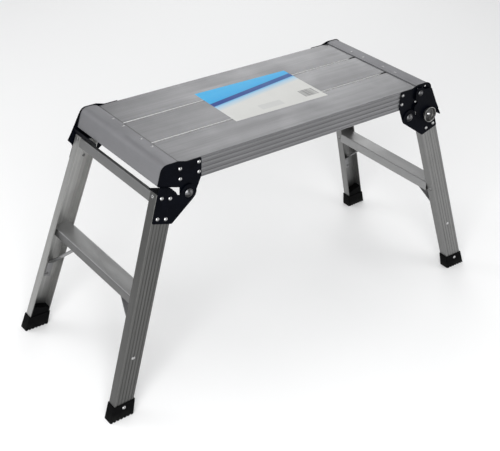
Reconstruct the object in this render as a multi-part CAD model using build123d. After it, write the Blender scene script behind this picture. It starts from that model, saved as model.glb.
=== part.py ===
from build123d import *
import os
from math import acos, atan2, cos, hypot, pi, radians, sin, tan

# Folding work platform: a three-plank aluminium deck on two hinged leg frames.
# Millimetres. Origin on the floor under the middle of the deck, +X along the deck, +Z up.
# Every corner piece is drawn once, at the right-hand back corner, and mirrored to the others.

# ---------------------------------------------------------------- driving dimensions
# Deck
DECK_HEIGHT = 507.0        # plank tops above the floor
DECK_DEPTH = 300.0         # across the two outer rail faces
PLANK_LENGTH = 656.0       # cut length of the planks
PLANK_SKIN = 2.0           # top plate of a plank
PLANK_GAP = 2.0            # slot between neighbouring planks
MIDDLE_PLANK_WIDTH = 102.0
RAIL_HEIGHT = 43.5
RAIL_WIDTH = 21.8
RAIL_WALL = 2.2
RAIL_INNER_WALL = 1.8
RAIL_FLUTE_PITCH = 10.0
RAIL_FLUTE_WIDTH = 6.2
RAIL_FLUTE_DEPTH = 1.0
PLANK_RIB_DEPTH = 12.0     # underside ribs and lips, from the plank top
PLANK_RIB_WALL = 1.8
PLANK_EDGE_ROUND = 1.5
BRACE_MIDDLE_X = 172.0     # cross channels under the planks
BRACE_CHANNEL_WIDTH = 38.0
BRACE_CHANNEL_DEPTH = 14.0
BRACE_CHANNEL_WALL = 1.8

# End caps
CAP_INNER_X = 312.0        # inner edge, lying on the planks
CAP_HUMP = 4.8             # top of the cap above the planks
CAP_LIP = 2.0              # upright edge of the cap above the planks
CAP_WALL = 2.2
CAP_SKIRT_X = 359.8        # outer face at the bottom of the skirt
CAP_SKIRT_Z = 471.5
CAP_SKIRT_LEAN = 16.5      # degrees from vertical
CAP_CORNER_RADIUS = 16.0
CAP_SEAT_STEP = 0.3        # planks are machined down this much under the cap

# Leg frames
PIVOT_X = 293.2
PIVOT_Z = 440.9
LEG_SPLAY = 17.4           # degrees, along the bench
LEG_FLARE = 4.9            # degrees, across the bench
LEG_WIDTH = 43.4
LEG_DEPTH = 21.1
LEG_WALL = 1.8
LEG_MIDDLE_U = 50.0        # middle of the leg, outwards from its pivot
LEG_TOP_S = 5.0            # top end, down the leg from the pivot
LEG_FLUTE_COUNT = 5
LEG_FLUTE_WIDTH = 3.0
LEG_FLUTE_DEPTH = 0.7

# Brackets, layered outwards from the rail face
PLATE = 2.0
LAYER_GAP = 0.9            # between upper and lower bracket
LATCH_GAP = 0.4            # between lower bracket and latch lever
BEND_S = 6.0               # lower bracket and lever follow the flare below this
LOBE_RADIUS = 18.0
BRACKET_TOP_S = -9.6       # lower bracket's top edge and tab
UPPER_EDGE_S = -9.9        # upper bracket's sloping edge, the stop for the tab
LOWER_BRACKET_END_S = 62.5
LOWER_BRACKET_OUTER_U = 70.5
TAB_INNER_Y = 125.0
LEG_COVER_S = 2.9          # a second tab closes the leg's top end

# Cross members
CROSSBAR_TOP_S = 8.0
CROSSBAR_HEIGHT = 20.0
CROSSBAR_THICKNESS = 11.0
CROSSBAR_WALL = 1.4
CROSSBAR_END_GAP = 1.6     # clears the bracket rivets' tails
CROSSBAR_RIVET_S = 13.4
CROSSBAR_RIVET_INSET = 12.0  # from the leg's outer face
STEP_S = 228.7             # middle of the step tube
STEP_U = 44.2
STEP_WIDTH = 40.2
STEP_HEIGHT = 22.3
STEP_WALL = 1.6
STEP_CORNER = 3.0
STEP_TILT = LEG_SPLAY      # turned on the leg so that the tread is level
BRACE_WIDTH = 14.0
BRACE_THICKNESS = 2.0
BRACE_TOP_Y = 92.0
BRACE_TAB_LENGTH = 20.0
BRACE_FOOT_S = 318.0
BRACE_RIVET_S = 344.0

# Feet
BOOT_WALL = 2.3
BOOT_TOP_Z = 33.0          # the boot's rim is level
BOOT_FLARE_IN = 3.5        # how far the sole spreads beyond the rim, each way
BOOT_FLARE_OUT = 0.8
BOOT_PLUG_S = 425.0
SOLE_THICKNESS = 8.0
SOLE_GROOVE_PITCH = 8.0
SOLE_GROOVE_COUNT = 6
SOLE_GROOVE_DEPTH = 3.0
SOLE_GROOVE_WIDTH = 5.0
BOOT_RIVET_S = 452.0

# Latch
LATCH_PIVOT = (316.5, 494.5)
LATCH_CUP_SU = (20.0, 51.2)
LATCH_CUP_RADIUS = 17.5
LATCH_CUP_HEIGHT = 8.0
LEVER_TAB_LINE = ((379.7, 444.5), (372.5, 434.0))  # root of the finger tab, (x, z)
LEVER_TAB_TIP_Y = 170.5
RELEASE_BAR_X = 364.0
RELEASE_BAR_THICKNESS = 2.2

# Fasteners
SMALL_SHANK = 2.4
SMALL_HEAD = 4.0
SMALL_HEAD_HEIGHT = 2.1
PIVOT_SHANK = 4.0
PIVOT_HEAD = 9.2
PIVOT_HEAD_HEIGHT = 5.2
LATCH_HEAD = 6.8
LATCH_HEAD_HEIGHT = 3.8
RUNNING_CLEARANCE = 0.06
HOLE_CLEARANCE = 0.05
CAP_RIVET_HEAD = 3.0

# Label
LABEL_SIZE = (238.0, 154.0)
LABEL_CENTRE = (3.8, 7.4)
LABEL_TURN = -1.4
LABEL_THICKNESS = 0.2

# ---------------------------------------------------------------- derived dimensions
RAIL_Y = DECK_DEPTH / 2
RAIL_BOTTOM_Z = DECK_HEIGHT - RAIL_HEIGHT
CAP_RIVET_Z = DECK_HEIGHT + CAP_HUMP - 0.45   # under the heads, in shallow spot faces
UPPER_OUTER_Y = RAIL_Y + PLATE
LOWER_INNER_Y = UPPER_OUTER_Y + LAYER_GAP
LOWER_OUTER_Y = LOWER_INNER_Y + PLATE
LEVER_INNER_Y = LOWER_OUTER_Y + LATCH_GAP
LEVER_OUTER_Y = LEVER_INNER_Y + PLATE
SPLAY_SIN = sin(radians(LEG_SPLAY))
SPLAY_COS = cos(radians(LEG_SPLAY))
FLARE_TAN = tan(radians(LEG_FLARE))
LEG_INNER_U = LEG_MIDDLE_U - LEG_WIDTH / 2
LEG_OUTER_U = LEG_MIDDLE_U + LEG_WIDTH / 2
DOWN_LEG = Vector(SPLAY_SIN, 0, -SPLAY_COS)
OUT_OF_LEG = Vector(SPLAY_COS, 0, SPLAY_SIN)
LEG_RUN = Vector(SPLAY_SIN, FLARE_TAN, -SPLAY_COS)
SIDES = {"left": -1, "right": 1}
ENDS = {"front": -1, "back": 1}


def has_latch(side, end):
    """The latches sit on one diagonal of the bench."""
    return (side, end) in (("right", "front"), ("left", "back"))


# ---------------------------------------------------------------- helpers
def leg_point(s, u):
    """World (x, z) of the point s down the right-hand leg and u outwards from its pivot."""
    x = PIVOT_X + s * SPLAY_SIN + u * SPLAY_COS
    z = PIVOT_Z - s * SPLAY_COS + u * SPLAY_SIN
    return (x, z)


def web_y(s):
    """Distance of the leg's outer face from the bench's middle plane."""
    return LOWER_INNER_Y + (s - BEND_S) * FLARE_TAN


def outline(points, radii):
    """A closed face through the points, each corner rounded by its own radius."""
    return make_face(FilletPolyline(points, radius=radii, close=True))


def side_prism(sketch, y_low, y_high):
    """An XZ sketch swept across the bench between two y values."""
    return extrude(Plane.XZ.offset(-y_high) * sketch, amount=y_high - y_low)


def long_prism(sketch, x_low, x_high):
    """A YZ sketch swept along the bench between two x values."""
    return extrude(Plane.YZ.offset(x_low) * sketch, amount=x_high - x_low)


def leg_prism(sketch, s_top, s_bottom):
    """A (u, y) sketch swept down the leg; y is 0 on the leg's outer face, negative inwards."""
    x, z = leg_point(s_top, 0)
    plane = Plane(origin=(x, web_y(s_top), z), x_dir=OUT_OF_LEG, z_dir=-DOWN_LEG)
    length = (s_bottom - s_top) * LEG_RUN.length
    return extrude(plane * sketch, amount=length, dir=LEG_RUN)


def cross_prism(sketch, u_low, u_high):
    """An (s, y) sketch swept outwards along u."""
    origin = Vector(PIVOT_X, 0, PIVOT_Z) + OUT_OF_LEG * u_low
    plane = Plane(origin=origin, x_dir=DOWN_LEG, z_dir=OUT_OF_LEG)
    return extrude(plane * sketch, amount=u_high - u_low)


def rect(x_low, x_high, y_low, y_high):
    """An axis-aligned rectangle given by its sides."""
    middle = ((x_low + x_high) / 2, (y_low + y_high) / 2)
    return Pos(*middle) * Rectangle(x_high - x_low, y_high - y_low)


def web_plane(s, u, lift=0.0):
    """A plane on the leg's outer face, facing outwards, raised by lift."""
    x, z = leg_point(s, u)
    normal = OUT_OF_LEG.cross(LEG_RUN).normalized()
    return Plane(origin=(x, web_y(s), z), x_dir=OUT_OF_LEG, z_dir=normal).offset(lift)


def side_plane(x, y, z):
    """A plane at a point, facing the back of the bench."""
    return Plane(origin=(x, y, z), x_dir=(1, 0, 0), z_dir=(0, 1, 0))


def drill(plane, radius, depth=30.0):
    """A cylinder through a plane, for cutting a hole."""
    return plane * Cylinder(radius, 2 * depth)


def dome_arc(radius, low, high):
    """A spherical crown in section, from its edge in to the axis."""
    rise = high - low
    ball = (radius**2 + rise**2) / (2 * rise)
    centre = high - ball
    middle = (atan2(low - centre, radius) + pi / 2) / 2
    return ThreePointArc(
        (radius, low), (ball * cos(middle), centre + ball * sin(middle)), (0, high)
    )


def rivet(shank, grip, head, head_height, tail, tail_height=1.0):
    """A rivet along z. The grip runs down from z = 0, the dome head stands above it."""
    edge = head_height * 0.2
    points = [(0, -grip - tail_height), (tail, -grip - tail_height)]
    if tail > shank:
        points += [(tail, -grip), (shank, -grip)]
    points += [(shank, 0), (head, 0), (head, edge)]
    crown = dome_arc(head, edge, head_height)
    axis_line = Line((0, head_height), (0, -grip - tail_height))
    return revolve(Plane.XZ * make_face(Polyline(points) + crown + axis_line), axis=Axis.Z)


def flush_rivet(shank, grip, head, tail, tail_height=1.0):
    """A countersunk rivet along z, its head level with z = 0."""
    sink = 1.2
    points = [
        (0, -grip - tail_height),
        (tail, -grip - tail_height),
        (tail, -grip),
        (shank, -grip),
        (shank, -sink),
        (head, 0),
        (0, 0),
    ]
    return revolve(Plane.XZ * make_face(Polyline(points, close=True)), axis=Axis.Z)


def sink_cone(shank, head, clearance):
    """The countersink that a flush rivet sits in."""
    sink = 1.2
    points = [(0, -sink), (shank + clearance, -sink), (head + clearance, 0), (0, 0)]
    return revolve(Plane.XZ * make_face(Polyline(points, close=True)), axis=Axis.Z)


def placed(shape, side, end):
    """A right-hand back piece mirrored to its own corner."""
    if SIDES[side] < 0:
        shape = mirror(shape, about=Plane.YZ)
    if ENDS[end] < 0:
        shape = mirror(shape, about=Plane.XZ)
    return shape


def group(shapes):
    """Separate solids kept together in one node."""
    return Compound(children=[solid for shape in shapes for solid in shape.solids()])


def tangent_point(outside, radius, turn):
    """Where the line from an outside point touches a circle about the origin."""
    distance = hypot(*outside)
    angle = atan2(outside[1], outside[0]) + turn * acos(radius / distance)
    return (radius * cos(angle), radius * sin(angle))


# ---------------------------------------------------------------- fastener places
def upper_rivet_places(latched):
    """(x, z) of the rivets that hold an upper bracket to its rail."""
    inner_x = 267.6
    outer_x = 310.2
    places = [(inner_x, 498.3), (inner_x, 477.0), (outer_x, 474.0)]
    if not latched:
        places.append((outer_x, 495.6))
    return places


def stop_rivet_place():
    """(x, z) of the small rivet at the top of a latched upper bracket."""
    return (333.5, 505.2)


def lower_rivet_places(latched):
    """(s, u, flush) of the rivets that hold a lower bracket to its leg."""
    top_s = 12.0
    low_s = 53.0
    low_us = (40.3, 61.8) if latched else (41.0, 60.3)
    places = [(top_s, 40.3, latched), (top_s, 59.9, latched)]
    places += [(low_s, u, False) for u in low_us]
    return places


def cap_rivet_places():
    """(x, y) of the end cap rivets at the right-hand end."""
    return [(320.5, y) for y in (-72.0, -33.0, 33.0, 72.0)]


def label_outline():
    """The label's outline on the deck."""
    return Pos(*LABEL_CENTRE) * Rot(0, 0, LABEL_TURN) * Rectangle(*LABEL_SIZE)


# ---------------------------------------------------------------- deck
def rail_flutes():
    """Shallow flutes along an outer rail face, as (y, z) trapezia on the back rail."""
    half = RAIL_FLUTE_WIDTH / 2
    narrow = half - RAIL_FLUTE_DEPTH
    flutes = []
    for row in range(3):
        z = DECK_HEIGHT - 12.0 - row * RAIL_FLUTE_PITCH
        points = [
            (RAIL_Y + 1, z - half - 1),
            (RAIL_Y - RAIL_FLUTE_DEPTH, z - narrow),
            (RAIL_Y - RAIL_FLUTE_DEPTH, z + narrow),
            (RAIL_Y + 1, z + half + 1),
        ]
        flutes.append(make_face(Polyline(points, close=True)))
    for z in (DECK_HEIGHT - 4.2, RAIL_BOTTOM_Z + 3.0):
        points = [(RAIL_Y + 1, z - 2), (RAIL_Y - 0.8, z), (RAIL_Y + 1, z + 2)]
        flutes.append(make_face(Polyline(points, close=True)))
    return flutes


def outer_plank_section():
    """Section of the back plank: a top plate with the hollow side rail at its edge."""
    inner_y = MIDDLE_PLANK_WIDTH / 2 + PLANK_GAP
    plate_low = DECK_HEIGHT - PLANK_SKIN
    rib_low = DECK_HEIGHT - PLANK_RIB_DEPTH
    low = plate_low - 2
    edge = [(inner_y, low), (RAIL_Y, low), (RAIL_Y, DECK_HEIGHT), (inner_y, DECK_HEIGHT)]
    top = outline(edge, [0, 0, PLANK_EDGE_ROUND, PLANK_EDGE_ROUND])
    top -= rect(inner_y - 1, RAIL_Y + 1, plate_low - 3, plate_low)
    section = top + rect(RAIL_Y - RAIL_WIDTH, RAIL_Y, RAIL_BOTTOM_Z, plate_low)
    section -= rect(
        RAIL_Y - RAIL_WIDTH + RAIL_INNER_WALL, RAIL_Y - RAIL_WALL, RAIL_BOTTOM_Z + 1.8, plate_low
    )
    section += rect(inner_y, inner_y + PLANK_RIB_WALL, rib_low, plate_low + 0.5)
    section += rect(inner_y - 1.6, inner_y + 0.5, plate_low - 3.5, plate_low - 1.7)
    middle_rib = (inner_y + RAIL_Y - RAIL_WIDTH) / 2
    section += rect(middle_rib, middle_rib + PLANK_RIB_WALL, rib_low, plate_low + 0.5)
    for flute in rail_flutes():
        section -= flute
    return section


def middle_plank_section():
    """Section of the middle plank: a top plate on four ribs."""
    half = MIDDLE_PLANK_WIDTH / 2
    plate_low = DECK_HEIGHT - PLANK_SKIN
    rib_low = DECK_HEIGHT - PLANK_RIB_DEPTH
    low = plate_low - 2
    edge = [(-half, low), (half, low), (half, DECK_HEIGHT), (-half, DECK_HEIGHT)]
    section = outline(edge, [0, 0, PLANK_EDGE_ROUND, PLANK_EDGE_ROUND])
    section -= rect(-half - 1, half + 1, plate_low - 3, plate_low)
    for y in (-half, -half / 3, half / 3 - PLANK_RIB_WALL, half - PLANK_RIB_WALL):
        section += rect(y, y + PLANK_RIB_WALL, rib_low, plate_low + 0.5)
    return section


def plank(section, turned=False):
    """A plank with its seats for the end caps, the label's recess and the cap rivet holes."""
    half = PLANK_LENGTH / 2
    body = long_prism(section, -half, half)
    if turned:
        body = mirror(body, about=Plane.XZ)
    seat_low = DECK_HEIGHT - CAP_SEAT_STEP
    seat = side_prism(rect(CAP_INNER_X, half + 1, seat_low, DECK_HEIGHT + 5), -RAIL_Y - 1, RAIL_Y + 1)
    body -= seat
    body -= mirror(seat, about=Plane.YZ)
    body -= extrude(
        Plane.XY.offset(DECK_HEIGHT - LABEL_THICKNESS) * label_outline(), amount=5
    )
    for x, y in cap_rivet_places():
        for sign in (1, -1):
            plane = Plane.XY.offset(DECK_HEIGHT)
            body -= Pos(sign * x, y, 0) * drill(plane, SMALL_SHANK - 0.6 + HOLE_CLEARANCE, 8)
    return body


def drill_rail(body, end):
    """The rail holes for the bracket rivets and the latch pivot, and for the brace tabs."""
    for side in SIDES:
        latched = has_latch(side, end)
        for x, z in upper_rivet_places(latched):
            hole = side_plane(x, RAIL_Y, z) * Cylinder(SMALL_SHANK + HOLE_CLEARANCE, 16)
            body -= placed(hole, side, end)
        if latched:
            x, z = LATCH_PIVOT
            hole = side_plane(x, RAIL_Y, z) * Cylinder(3.0 + HOLE_CLEARANCE, 16)
            body -= placed(hole, side, end)
    for x, z in brace_rivet_places():
        hole = side_plane(x, RAIL_Y - RAIL_WIDTH, z) * Cylinder(SMALL_SHANK - 0.4 + HOLE_CLEARANCE, 12)
        body -= placed(hole, "right", end)
        body -= placed(hole, "left", end)
    return body


def brace_rivet_places():
    """(x, z) of the rivets through a deck brace's end tab."""
    z = DECK_HEIGHT - PLANK_RIB_DEPTH - BRACE_CHANNEL_DEPTH / 2
    return [(BRACE_MIDDLE_X - 10, z), (BRACE_MIDDLE_X + 10, z)]


def deck_brace():
    """The right-hand channel under the plank ribs, with a tab at each end."""
    top = DECK_HEIGHT - PLANK_RIB_DEPTH
    low = top - BRACE_CHANNEL_DEPTH
    left = BRACE_MIDDLE_X - BRACE_CHANNEL_WIDTH / 2
    right = BRACE_MIDDLE_X + BRACE_CHANNEL_WIDTH / 2
    wall = BRACE_CHANNEL_WALL
    reach = RAIL_Y - RAIL_WIDTH
    section = rect(left, right, low, top) - rect(left + wall, right - wall, low - 1, top - wall)
    body = side_prism(section, -reach, reach)
    for end in (1, -1):
        tab = side_prism(rect(left, right, low, top), reach - wall, reach)
        for x, z in brace_rivet_places():
            tab -= side_plane(x, reach, z) * Cylinder(SMALL_SHANK - 0.4 + HOLE_CLEARANCE, 12)
        body += tab if end > 0 else mirror(tab, about=Plane.XZ)
    return body


def deck_brace_rivets():
    """Rivets through the deck braces' tabs into the rails' inner walls."""
    reach = RAIL_Y - RAIL_WIDTH
    grip = BRACE_CHANNEL_WALL + RAIL_INNER_WALL
    shapes = []
    for x, z in brace_rivet_places():
        plane = Plane(
            origin=(x, reach - BRACE_CHANNEL_WALL, z), x_dir=(1, 0, 0), z_dir=(0, -1, 0)
        )
        shape = plane * rivet(SMALL_SHANK - 0.4, grip, SMALL_HEAD - 0.4, 1.4, 3.0)
        shapes += [placed(shape, side, end) for side in SIDES for end in ENDS]
    return group(shapes)


def end_cap():
    """The right-hand end cap: a thick lip on the planks, a rounded corner and a skirt."""
    seat = DECK_HEIGHT - CAP_SEAT_STEP
    top = DECK_HEIGHT + CAP_HUMP
    lean = tan(radians(CAP_SKIRT_LEAN))
    wall_x = CAP_WALL / cos(radians(CAP_SKIRT_LEAN))
    corner_x = CAP_SKIRT_X - (top - CAP_SKIRT_Z) * lean
    plank_end = PLANK_LENGTH / 2 + 1
    inner_top = top - CAP_WALL
    hem = 9.0
    hem_top = CAP_SKIRT_Z + CAP_WALL
    outer = [
        (CAP_INNER_X, seat),
        (CAP_INNER_X, DECK_HEIGHT + CAP_LIP),
        (CAP_INNER_X + 7, top - 0.5),
        (CAP_INNER_X + 16, top),
        (corner_x, top),
        (CAP_SKIRT_X, CAP_SKIRT_Z),
        (CAP_SKIRT_X - hem, CAP_SKIRT_Z),
        (CAP_SKIRT_X - hem, hem_top),
        (CAP_SKIRT_X - wall_x - (hem_top - CAP_SKIRT_Z) * lean, hem_top),
        (CAP_SKIRT_X - wall_x - (inner_top - CAP_SKIRT_Z) * lean, inner_top),
        (plank_end + 1.5, inner_top),
        (plank_end, seat),
    ]
    inner_radius = CAP_CORNER_RADIUS - CAP_WALL
    radii = [0, 0.6, 12, 20, CAP_CORNER_RADIUS, 1.2, 0.6, 0.6, 0.4, inner_radius, 1.0, 0]
    body = side_prism(outline(outer, radii), -RAIL_Y, RAIL_Y)
    for x, y in cap_rivet_places():
        body -= Pos(x, y, DECK_HEIGHT) * Cylinder(SMALL_SHANK - 0.6 + HOLE_CLEARANCE, 30)
        body -= Pos(x, y, CAP_RIVET_Z + 2.5) * Cylinder(CAP_RIVET_HEAD + HOLE_CLEARANCE, 5)
    return body


def end_cap_rivets():
    """Low rivets through both end caps into the planks."""
    grip = CAP_RIVET_Z - (DECK_HEIGHT - PLANK_SKIN)
    shapes = []
    for x, y in cap_rivet_places():
        shape = Pos(x, y, CAP_RIVET_Z) * rivet(SMALL_SHANK - 0.6, grip, CAP_RIVET_HEAD, 0.9, 2.8, 0.8)
        shapes += [shape, mirror(shape, about=Plane.YZ)]
    return group(shapes)


def product_label():
    """The paper label, let into the planks so that its face is level with them."""
    base = Plane.XY.offset(DECK_HEIGHT - LABEL_THICKNESS)
    return extrude(base * label_outline(), amount=LABEL_THICKNESS)


# ---------------------------------------------------------------- brackets
def upper_bracket(latched):
    """A flat plate on the rail face, with a rounded lobe round the leg pivot."""
    edge_start_u = (LOBE_RADIUS + UPPER_EDGE_S * -SPLAY_SIN) / SPLAY_COS
    inner_top = (262.0, DECK_HEIGHT)
    inner_low = (262.0, 467.0)
    touch = tangent_point((inner_low[0] - PIVOT_X, inner_low[1] - PIVOT_Z), LOBE_RADIUS, 1)
    cap_top = DECK_HEIGHT + CAP_HUMP + 0.7
    points = [
        inner_top,
        inner_low,
        (PIVOT_X + touch[0], PIVOT_Z + touch[1]),
        (PIVOT_X, PIVOT_Z - 4),
        (PIVOT_X + LOBE_RADIUS, PIVOT_Z),
        leg_point(UPPER_EDGE_S, edge_start_u),
        leg_point(UPPER_EDGE_S, 74.0),
        (350.4, cap_top),
        (313.0, cap_top),
        (294.0, DECK_HEIGHT),
    ]
    plate = outline(points, [3, 5, 0, 0, 0, 1, 1.5, 17, 9, 9])
    plate += Pos(PIVOT_X, PIVOT_Z) * Circle(LOBE_RADIUS)
    body = side_prism(plate, RAIL_Y, UPPER_OUTER_Y)
    for x, z in upper_rivet_places(latched):
        body -= side_plane(x, RAIL_Y, z) * Cylinder(SMALL_SHANK + HOLE_CLEARANCE, 16)
    body -= side_plane(PIVOT_X, RAIL_Y, PIVOT_Z) * Cylinder(PIVOT_SHANK + HOLE_CLEARANCE, 16)
    if latched:
        x, z = LATCH_PIVOT
        body -= side_plane(x, RAIL_Y, z) * Cylinder(3.0 + HOLE_CLEARANCE, 16)
        x, z = stop_rivet_place()
        body -= side_plane(x, RAIL_Y, z) * Cylinder(SMALL_SHANK - 0.6 + HOLE_CLEARANCE, 16)
    return body


def lower_bracket_points():
    """Corner points (x, z) of the lower bracket's outline, and their radii."""
    corner = (24.9, LOWER_BRACKET_END_S)
    touch = tangent_point(corner, LOBE_RADIUS, 1)
    leg_frame = [
        (LOWER_BRACKET_OUTER_U, BRACKET_TOP_S),
        (45.0, BRACKET_TOP_S),
        (30.8, -1.4),
        (24.6, 4.9),
        (17.0, 5.6),
        (0.0, 0.0),
        touch,
        corner,
        (LOWER_BRACKET_OUTER_U, LOWER_BRACKET_END_S),
    ]
    radii = [2.5, 2, 8, 3, 0, 0, 0, 3.5, 2.5]
    return [leg_point(s, u) for u, s in leg_frame], radii


def flared_slab(inner_y, s_low, s_high):
    """A wide plate that is flat above the bend and follows the leg's flare below it."""
    rise = (s_high - BEND_S) * FLARE_TAN
    points = [
        (s_low, inner_y),
        (BEND_S, inner_y),
        (s_high, inner_y + rise),
        (s_high, inner_y + rise + PLATE),
        (BEND_S, inner_y + PLATE),
        (s_low, inner_y + PLATE),
    ]
    return cross_prism(make_face(Polyline(points, close=True)), -60, 130)


def lower_bracket(latched):
    """A plate riveted to the leg, with a flat lobe round the pivot and a tab over the leg."""
    points, radii = lower_bracket_points()
    plate = side_prism(outline(points, radii), LOWER_INNER_Y - 20, LOWER_OUTER_Y + 40)
    body = plate & flared_slab(LOWER_INNER_Y, -60, 120)
    lobe_flat = side_plane(PIVOT_X, LOWER_INNER_Y, PIVOT_Z) * Cylinder(12.5, 60)
    body -= lobe_flat
    disc = Pos(PIVOT_X, PIVOT_Z) * Circle(LOBE_RADIUS)
    body += side_prism(disc, LOWER_INNER_Y, LOWER_OUTER_Y)
    tab = rect(BRACKET_TOP_S, BRACKET_TOP_S + PLATE, TAB_INNER_Y, LOWER_OUTER_Y)
    body += cross_prism(tab, 46.0, 66.0)
    cover = rect(LEG_COVER_S, LEG_COVER_S + PLATE, TAB_INNER_Y, LOWER_OUTER_Y)
    body += cross_prism(cover, 46.0, LEG_OUTER_U - 0.2)
    hole_radius = PIVOT_SHANK + RUNNING_CLEARANCE
    body -= side_plane(PIVOT_X, RAIL_Y, PIVOT_Z) * Cylinder(hole_radius, 30)
    for s, u, flush in lower_rivet_places(latched):
        body -= drill(web_plane(s, u), SMALL_SHANK + HOLE_CLEARANCE, 12)
        if flush:
            body -= web_plane(s, u, PLATE) * sink_cone(SMALL_SHANK, SMALL_HEAD, HOLE_CLEARANCE)
            body -= web_plane(s, u, PLATE + 3) * Cylinder(SMALL_HEAD + HOLE_CLEARANCE, 6)
    return body


def pivot_rivet():
    """The leg pivot: fixed in the upper bracket, running in the lower bracket."""
    head_gap = 0.3
    grip = LOWER_OUTER_Y + head_gap - RAIL_Y
    plane = side_plane(PIVOT_X, LOWER_OUTER_Y + head_gap, PIVOT_Z)
    return plane * rivet(PIVOT_SHANK, grip, PIVOT_HEAD, PIVOT_HEAD_HEIGHT, 7.5, 2.0)


def pivot_washer():
    """A thin washer between the two brackets at the pivot."""
    ring = Circle(9.0) - Circle(PIVOT_SHANK + RUNNING_CLEARANCE)
    return side_prism(Pos(PIVOT_X, PIVOT_Z) * ring, UPPER_OUTER_Y + 0.2, LOWER_INNER_Y)


def upper_bracket_rivets():
    """All the rivets that hold the upper brackets to the rails."""
    shapes = []
    for side in SIDES:
        for end in ENDS:
            for x, z in upper_rivet_places(has_latch(side, end)):
                plane = side_plane(x, UPPER_OUTER_Y, z)
                grip = PLATE + RAIL_WALL
                shape = plane * rivet(SMALL_SHANK, grip, SMALL_HEAD, SMALL_HEAD_HEIGHT, 3.4)
                shapes.append(placed(shape, side, end))
            if has_latch(side, end):
                x, z = stop_rivet_place()
                shape = side_plane(x, UPPER_OUTER_Y, z) * rivet(SMALL_SHANK - 0.6, PLATE, 2.5, 1.0, 2.4)
                shapes.append(placed(shape, side, end))
    return group(shapes)


def lower_bracket_rivets(side):
    """The rivets that hold one side's lower brackets to its legs."""
    shapes = []
    for end in ENDS:
        for s, u, flush in lower_rivet_places(has_latch(side, end)):
            plane = web_plane(s, u, PLATE)
            grip = PLATE + LEG_WALL
            if flush:
                shape = plane * flush_rivet(SMALL_SHANK, grip, SMALL_HEAD, 3.4)
            else:
                shape = plane * rivet(SMALL_SHANK, grip, SMALL_HEAD, SMALL_HEAD_HEIGHT, 3.4)
            shapes.append(placed(shape, side, end))
    return group(shapes)


# ---------------------------------------------------------------- legs
def leg_section():
    """The leg's channel, open towards the middle of the bench, with a fluted outer face."""
    points = [
        (LEG_INNER_U, 0),
        (LEG_INNER_U, -LEG_DEPTH),
        (LEG_OUTER_U, -LEG_DEPTH),
        (LEG_OUTER_U, 0),
    ]
    section = outline(points, [1.6, 0, 0, 1.6])
    section -= rect(LEG_INNER_U + LEG_WALL, LEG_OUTER_U - LEG_WALL, -LEG_DEPTH - 1, -LEG_WALL)
    pitch = (LEG_WIDTH - 6.0) / LEG_FLUTE_COUNT
    for flute in range(LEG_FLUTE_COUNT):
        u = LEG_MIDDLE_U + (flute - (LEG_FLUTE_COUNT - 1) / 2) * pitch
        half = LEG_FLUTE_WIDTH / 2
        deep = -LEG_FLUTE_DEPTH
        points = [(u - half, 0.6), (u - half / 2, deep), (u + half / 2, deep), (u + half, 0.6)]
        section -= make_face(Polyline(points, close=True))
    return section


def below(z):
    """Everything under a height, for trimming a leg or a foot."""
    return Pos(PIVOT_X + 150, RAIL_Y, z - 100) * Box(400, 400, 200)


def leg(latched):
    """A channel leg from its bracket down into its boot."""
    body = leg_prism(leg_section(), LEG_TOP_S, 510)
    body -= below(SOLE_THICKNESS)
    for s, u, _ in lower_rivet_places(latched):
        body -= drill(web_plane(s, u), SMALL_SHANK + HOLE_CLEARANCE, 8)
    for s in (BRACE_RIVET_S, BOOT_RIVET_S):
        body -= drill(web_plane(s, LEG_MIDDLE_U), SMALL_SHANK + HOLE_CLEARANCE, 8)
    body -= drill(crossbar_rivet_plane(), SMALL_SHANK + HOLE_CLEARANCE, 6)
    body -= drill(step_rivet_plane(), SMALL_SHANK + HOLE_CLEARANCE, 6)
    return body


def crossbar_rivet_plane():
    """On the leg's outer flange, facing outwards, at the crossbar's end."""
    x, z = leg_point(CROSSBAR_RIVET_S, LEG_OUTER_U)
    y = web_y(CROSSBAR_RIVET_S) - CROSSBAR_RIVET_INSET
    return Plane(origin=(x, y, z), x_dir=DOWN_LEG, z_dir=OUT_OF_LEG)


def step_rivet_plane():
    """On the leg's inner flange, facing inwards, at the step's end."""
    x, z = leg_point(STEP_S, LEG_INNER_U)
    return Plane(origin=(x, web_y(STEP_S) - 10.5, z), x_dir=DOWN_LEG, z_dir=-OUT_OF_LEG)


def beyond_web(inset, s_low, s_high):
    """Everything outside the leg's inner web face, for trimming a cross member's end."""
    return leg_prism(rect(-20, 120, -inset, 60), s_low, s_high)


def both_ends(cutter):
    """A cutter at the back corner together with its copy at the front corner."""
    return [cutter, mirror(cutter, about=Plane.XZ)]


def crossbar():
    """The thin tube between the tops of the right-hand legs."""
    outer_u = LEG_OUTER_U - LEG_WALL
    inner_u = outer_u - CROSSBAR_THICKNESS
    low_s = CROSSBAR_TOP_S + CROSSBAR_HEIGHT
    wall = CROSSBAR_WALL
    corners = [leg_point(s, u) for s, u in (
        (CROSSBAR_TOP_S, inner_u), (CROSSBAR_TOP_S, outer_u), (low_s, outer_u), (low_s, inner_u))]
    hollow = [leg_point(s, u) for s, u in (
        (CROSSBAR_TOP_S + wall, inner_u + wall), (CROSSBAR_TOP_S + wall, outer_u - wall),
        (low_s - wall, outer_u - wall), (low_s - wall, inner_u + wall))]
    section = outline(corners, [1.5] * 4) - make_face(Polyline(hollow, close=True))
    body = side_prism(section, -170, 170)
    for cutter in both_ends(beyond_web(LEG_WALL + CROSSBAR_END_GAP, -30, 60)):
        body -= cutter
    for hole in both_ends(drill(crossbar_rivet_plane(), SMALL_SHANK + HOLE_CLEARANCE, 6)):
        body -= hole
    return body


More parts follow.
